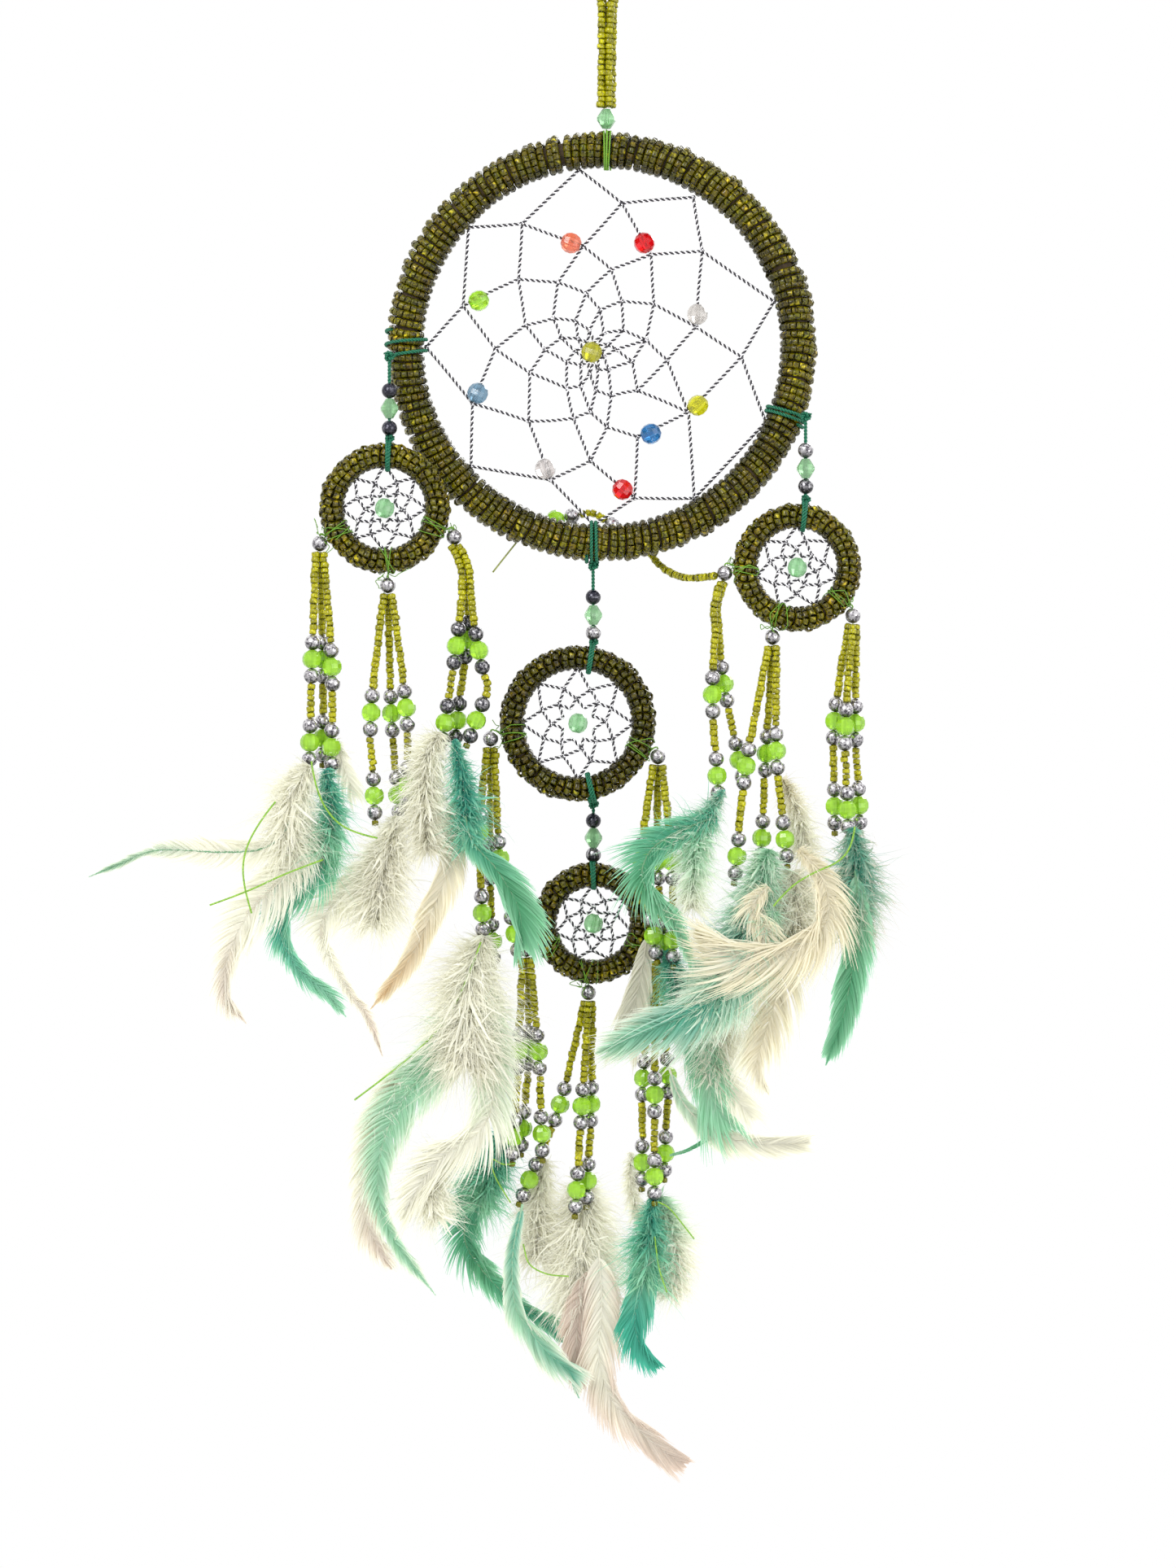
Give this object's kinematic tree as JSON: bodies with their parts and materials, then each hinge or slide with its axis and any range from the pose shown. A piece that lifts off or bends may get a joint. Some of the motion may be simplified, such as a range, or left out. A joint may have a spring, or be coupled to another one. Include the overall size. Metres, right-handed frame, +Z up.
{
  "type": "dream catcher",
  "caption": "Hanging dream catcher: beaded hoop with a thread web, smaller beaded rings below it, and tassels of beads and feathers.",
  "frame": {"origin": "the point where a nail or hook bears, under the top of the hanging loop", "axes": "+Z up, -Y towards the viewer, +X to the viewer's right; the hoops lie in XZ planes"},
  "size_m": [0.2197, 0.0396, 0.4324],
  "materials": {
    "seed_strand": "gloss",
    "clear_green": "gloss",
    "hoop_core": "matt",
    "bead_wrap": "gloss",
    "metallic_thread": "metallic",
    "coloured_beads": "gloss",
    "green_cord": "satin",
    "tassel_beads": "gloss",
    "feather": "matt"
  },
  "bodies": {
    "loop": {"hanging_loop": "seed_strand", "loop_bead": "clear_green"},
    "hoop": {"main_hoop": "hoop_core", "main_wrap": "bead_wrap", "main_web": "metallic_thread", "web_beads": "coloured_beads", "main_ties": "green_cord"},
    "left_ring": {"left_hoop": "hoop_core", "left_wrap": "bead_wrap", "left_web": "metallic_thread", "left_beads": "clear_green", "left_threads": "green_cord", "left_tassel_a_strands": "seed_strand", "left_tassel_a_beads": "tassel_beads", "left_tassel_a_feathers": "feather", "left_tassel_b_strands": "seed_strand", "left_tassel_b_beads": "tassel_beads", "left_tassel_b_feathers": "feather", "left_tassel_c_strands": "seed_strand", "left_tassel_c_beads": "tassel_beads", "left_tassel_c_feathers": "feather"},
    "right_ring": {"right_hoop": "hoop_core", "right_wrap": "bead_wrap", "right_web": "metallic_thread", "right_beads": "clear_green", "right_threads": "green_cord", "right_tassel_a_strands": "seed_strand", "right_tassel_a_beads": "tassel_beads", "right_tassel_a_feathers": "feather", "right_tassel_b_strands": "seed_strand", "right_tassel_b_beads": "tassel_beads", "right_tassel_b_feathers": "feather", "right_tassel_c_strands": "seed_strand", "right_tassel_c_beads": "tassel_beads", "right_tassel_c_feathers": "feather"},
    "middle_ring": {"middle_hoop": "hoop_core", "middle_wrap": "bead_wrap", "middle_web": "metallic_thread", "middle_beads": "clear_green", "middle_threads": "green_cord", "middle_tassel_a_strands": "seed_strand", "middle_tassel_a_beads": "tassel_beads", "middle_tassel_a_feathers": "feather", "middle_tassel_b_strands": "seed_strand", "middle_tassel_b_beads": "tassel_beads", "middle_tassel_b_feathers": "feather"},
    "bottom_ring": {"bottom_hoop": "hoop_core", "bottom_wrap": "bead_wrap", "bottom_web": "metallic_thread", "bottom_beads": "clear_green", "bottom_threads": "green_cord", "bottom_tassel_a_strands": "seed_strand", "bottom_tassel_a_beads": "tassel_beads", "bottom_tassel_a_feathers": "feather", "bottom_tassel_b_strands": "seed_strand", "bottom_tassel_b_beads": "tassel_beads", "bottom_tassel_b_feathers": "feather", "bottom_tassel_c_strands": "seed_strand", "bottom_tassel_c_beads": "tassel_beads", "bottom_tassel_c_feathers": "feather"}
  },
  "joints": [
    {"name": "hoop_twist", "type": "hinge", "parent": "loop", "child": "hoop", "pos_m": [-0.0004, 0, -0.0573], "axis": [0, 0, 1], "range_deg": [-180, 180]},
    {"name": "left_ring_swing", "type": "hinge", "parent": "hoop", "child": "left_ring", "pos_m": [-0.0601, -0.0089, -0.1218], "axis": [0, 1, 0], "range_deg": [-5, 12]},
    {"name": "right_ring_swing", "type": "hinge", "parent": "hoop", "child": "right_ring", "pos_m": [0.0543, -0.0089, -0.1385], "axis": [0, 1, 0], "range_deg": [-12, 3]},
    {"name": "middle_ring_swing", "type": "hinge", "parent": "hoop", "child": "middle_ring", "pos_m": [-0.0041, 0, -0.179], "axis": [0, 1, 0], "range_deg": [-10, 10]},
    {"name": "bottom_ring_swing", "type": "hinge", "parent": "middle_ring", "child": "bottom_ring", "pos_m": [-0.004, 0.0092, -0.2449], "axis": [0, 1, 0], "range_deg": [-12, 12]}
  ]
}
